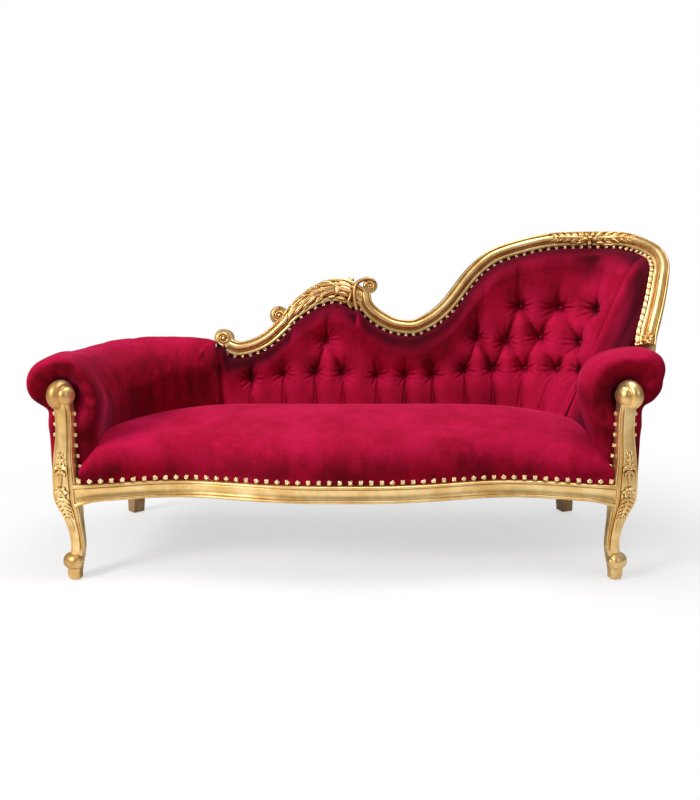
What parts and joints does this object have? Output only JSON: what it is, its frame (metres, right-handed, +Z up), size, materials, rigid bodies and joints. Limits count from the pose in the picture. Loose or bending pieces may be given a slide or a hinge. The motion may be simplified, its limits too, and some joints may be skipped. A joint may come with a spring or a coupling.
{
  "type": "chaise longue",
  "caption": "Chaise longue with a carved gilded crest and legs, crimson velvet seat, rolled arms and a deep-buttoned back that rises to a high head end.",
  "frame": {"origin": "on the floor under the middle of the whole, halfway along, across and at the undersides of the glides", "axes": "+X along the seat towards the high head end, +Y from the front to the back, +Z up"},
  "size_m": [1.8899, 0.7266, 0.9775],
  "materials": {
    "gilded_wood": "satin pale gold leaf over carved hardwood, brown in the recesses",
    "crimson_velvet": "short-pile crimson velvet with a bright sheen at grazing angles",
    "brass_nails": "polished domed heads",
    "frame_timber": "planed beech, unfinished",
    "jute": "plain woven jute",
    "seat_stuffing": "soft stuffing, hidden",
    "black_cloth": "thin black dust cloth",
    "plain_steel": "zinc-plated"
  },
  "bodies": {
    "root": {"back_buttons": "crimson_velvet", "back_pad": "crimson_velvet", "back_rail": "frame_timber", "back_tack_rails": "frame_timber", "back_uprights": "frame_timber", "back_webbing": "jute", "crest_leaf_rail": "gilded_wood", "crest_nails": "brass_nails", "crest_scroll_rail": "gilded_wood", "crest_sweep_rail": "gilded_wood", "dust_cover": "black_cloth", "foot_glides": "plain_steel", "front_corner_blocks": "frame_timber", "front_rail": "gilded_wood", "head_rail": "gilded_wood", "head_stile": "gilded_wood", "left_arm_board": "frame_timber", "left_arm_facing": "crimson_velvet", "left_arm_pad": "crimson_velvet", "left_arm_uprights": "frame_timber", "left_corner_rail": "frame_timber", "left_front_leg": "gilded_wood", "left_outside_cover": "crimson_velvet", "left_post_nails": "brass_nails", "left_rear_leg": "gilded_wood", "left_side_rail": "frame_timber", "outside_back_cover": "crimson_velvet", "rail_nails": "brass_nails", "rear_corner_blocks": "frame_timber", "rear_leg_bolts": "plain_steel", "right_arm_board": "frame_timber", "right_arm_facing": "crimson_velvet", "right_arm_pad": "crimson_velvet", "right_arm_uprights": "frame_timber", "right_corner_rail": "frame_timber", "right_front_leg": "gilded_wood", "right_outside_cover": "crimson_velvet", "right_post_nails": "brass_nails", "right_rear_leg": "gilded_wood", "right_side_rail": "frame_timber", "seat_bearers": "frame_timber", "seat_cover": "crimson_velvet", "seat_foam": "seat_stuffing", "seat_hessian": "jute", "seat_webbing": "jute", "seat_webbing_long": "jute", "stile_nails": "brass_nails", "wing_outside_cover": "crimson_velvet", "wing_pad": "crimson_velvet"}
  },
  "joints": []
}
